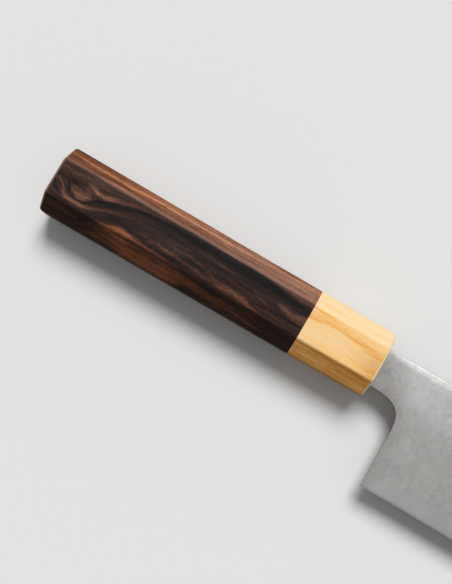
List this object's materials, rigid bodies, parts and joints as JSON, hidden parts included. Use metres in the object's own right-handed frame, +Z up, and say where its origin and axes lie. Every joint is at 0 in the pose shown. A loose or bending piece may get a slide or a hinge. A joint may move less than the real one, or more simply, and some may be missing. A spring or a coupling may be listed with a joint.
{
  "type": "kiritsuke kitchen knife",
  "caption": "Long kitchen knife with an angled clip point, a laminated wedge blade, a curved choil and an eight-sided handle of dark wood with a pale wood ferrule.",
  "frame": {"origin": "middle of the knife's box in X and Y, on the surface that the handle's left flat lies on", "axes": "+X from the handle's butt to the blade's tip, +Y from the cutting edge to the spine, +Z up, out of the knife's right side"},
  "size_m": [0.3916, 0.0541, 0.0215],
  "materials": {
    "handle_body": "dark figured hardwood, oiled satin",
    "ferrule": "pale close-grained hardwood, oiled satin",
    "tang_dowel": "plain turned hardwood",
    "tang_adhesive": "cured epoxy",
    "blade_core": "fine satin, bright at the cutting bevel",
    "cladding": "matte grey with faint folded layers"
  },
  "bodies": {
    "root": {"handle_body": "handle_body", "ferrule": "ferrule", "tang_dowel": "tang_dowel", "tang_adhesive": "tang_adhesive", "blade_core": "blade_core", "cladding_right": "cladding", "cladding_left": "cladding"}
  },
  "joints": []
}
